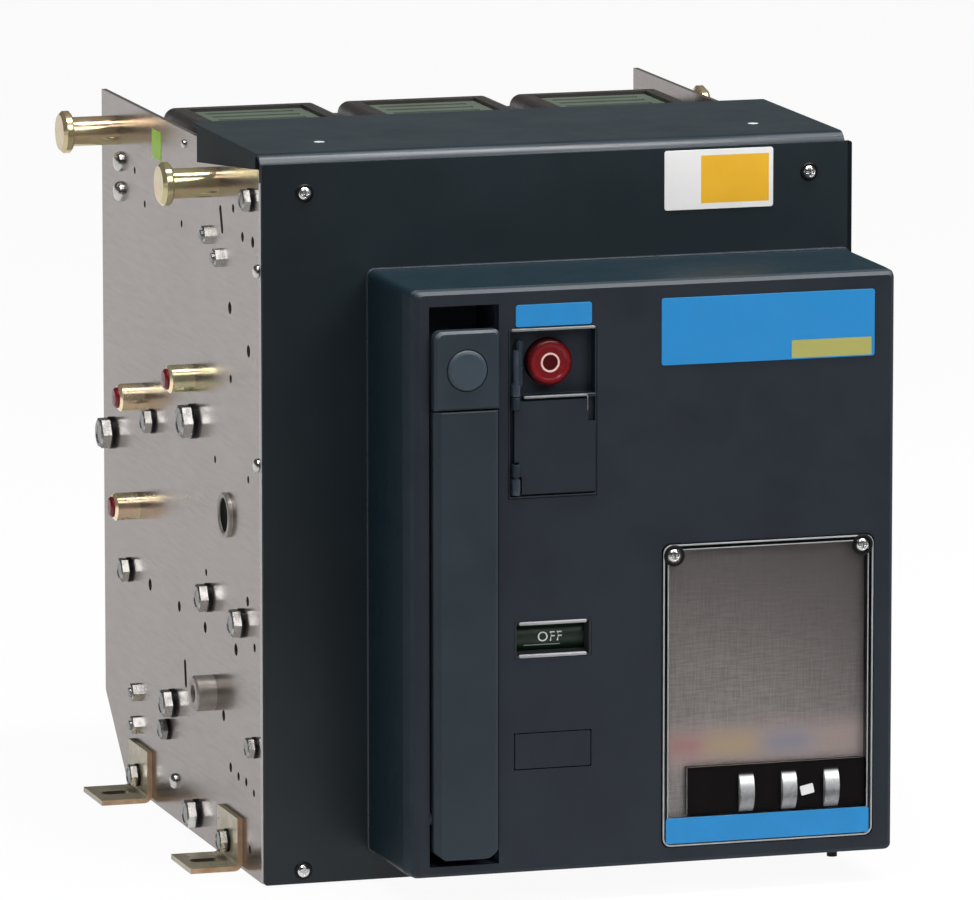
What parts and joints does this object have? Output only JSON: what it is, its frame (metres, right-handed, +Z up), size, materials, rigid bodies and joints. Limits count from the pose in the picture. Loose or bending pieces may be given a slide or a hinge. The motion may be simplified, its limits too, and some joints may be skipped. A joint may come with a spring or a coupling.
{
  "type": "fixed low-voltage air circuit breaker",
  "caption": "Fixed-mounted low-voltage air circuit breaker: steel side plates on slotted feet, moulded facia with a swing handle, trip button, padlock flap and release window, rear terminals.",
  "frame": {"origin": "on the floor, under the middle of the outline", "axes": "+Z up, front with the handle and facia towards -Y, rear terminals towards +Y, +X to the right of a person who faces the front"},
  "size_m": [0.406, 0.493, 0.423],
  "materials": {
    "plate_steel": "polished, zinc plated",
    "foot_zinc": "yellow passivated zinc",
    "shroud_paint": "satin dark blue-grey powder coat",
    "facia_plastic": "fine grain",
    "black_plastic": "fine grain",
    "handle_plastic": "smooth",
    "red_plastic": "gloss",
    "green_plastic": "satin",
    "release_steel": "brushed",
    "dial_chrome": "bright",
    "clear_cover": "clear polycarbonate",
    "pin_zinc": "yellow passivated zinc",
    "tip_red": "red paint",
    "bush_steel": "turned",
    "chute_moulding": "moulded",
    "vent_fibre": "fibre sheet",
    "pole_moulding": "moulded thermoset",
    "terminal_copper": "silver plated copper"
  },
  "bodies": {
    "frame": {"left_side_plate": "plate_steel", "right_side_plate": "plate_steel", "left_front_foot": "foot_zinc", "left_rear_foot": "foot_zinc", "right_front_foot": "foot_zinc", "right_rear_foot": "foot_zinc", "front_panel": "shroud_paint", "top_cover": "shroud_paint", "facia": "facia_plastic", "handle_trough": "black_plastic", "trip_insert": "facia_plastic", "flap_hinge": "facia_plastic", "indicator_frame": "black_plastic", "indicator_drum": "green_plastic", "blank_plug": "facia_plastic", "release_housing": "black_plastic", "release_plate": "release_steel", "dial_block": "black_plastic", "setting_dials": "dial_chrome", "release_cover": "clear_cover", "left_rear_pin": "pin_zinc", "left_front_pin": "pin_zinc", "right_rear_pin": "pin_zinc", "right_front_pin": "pin_zinc", "left_locators": "pin_zinc", "right_locators": "pin_zinc", "left_locator_tips": "tip_red", "right_locator_tips": "tip_red", "left_bushes": "bush_steel", "right_bushes": "bush_steel", "left_arc_chute": "chute_moulding", "middle_arc_chute": "chute_moulding", "right_arc_chute": "chute_moulding", "arc_vents": "vent_fibre", "left_pole": "pole_moulding", "middle_pole": "pole_moulding", "right_pole": "pole_moulding", "upper_terminals": "terminal_copper", "lower_terminals": "terminal_copper", "tie_bars": "bush_steel"},
    "handle": {"handle_lever": "handle_plastic", "handle_head": "handle_plastic", "handle_disc": "handle_plastic"},
    "trip": {"trip_button": "red_plastic"},
    "flap": {"padlock_flap": "facia_plastic"}
  },
  "joints": [
    {"name": "handle_swing", "type": "hinge", "parent": "frame", "child": "handle", "pos_m": [-0.075, -0.2335, 0.052], "axis": [1, 0, 0], "range_deg": [0, 85], "stiffness_Nm_per_rad": 1.5, "springref_deg": -22.92},
    {"name": "trip_press", "type": "slide", "parent": "frame", "child": "trip", "axis": [0, 1, 0], "range_m": [0, 0.005], "stiffness_N_per_m": 400, "springref_m": -0.004},
    {"name": "flap_swing", "type": "hinge", "parent": "frame", "child": "flap", "pos_m": [-0.045, -0.2403, 0.265], "axis": [0, 0, -1], "range_deg": [0, 90]}
  ]
}
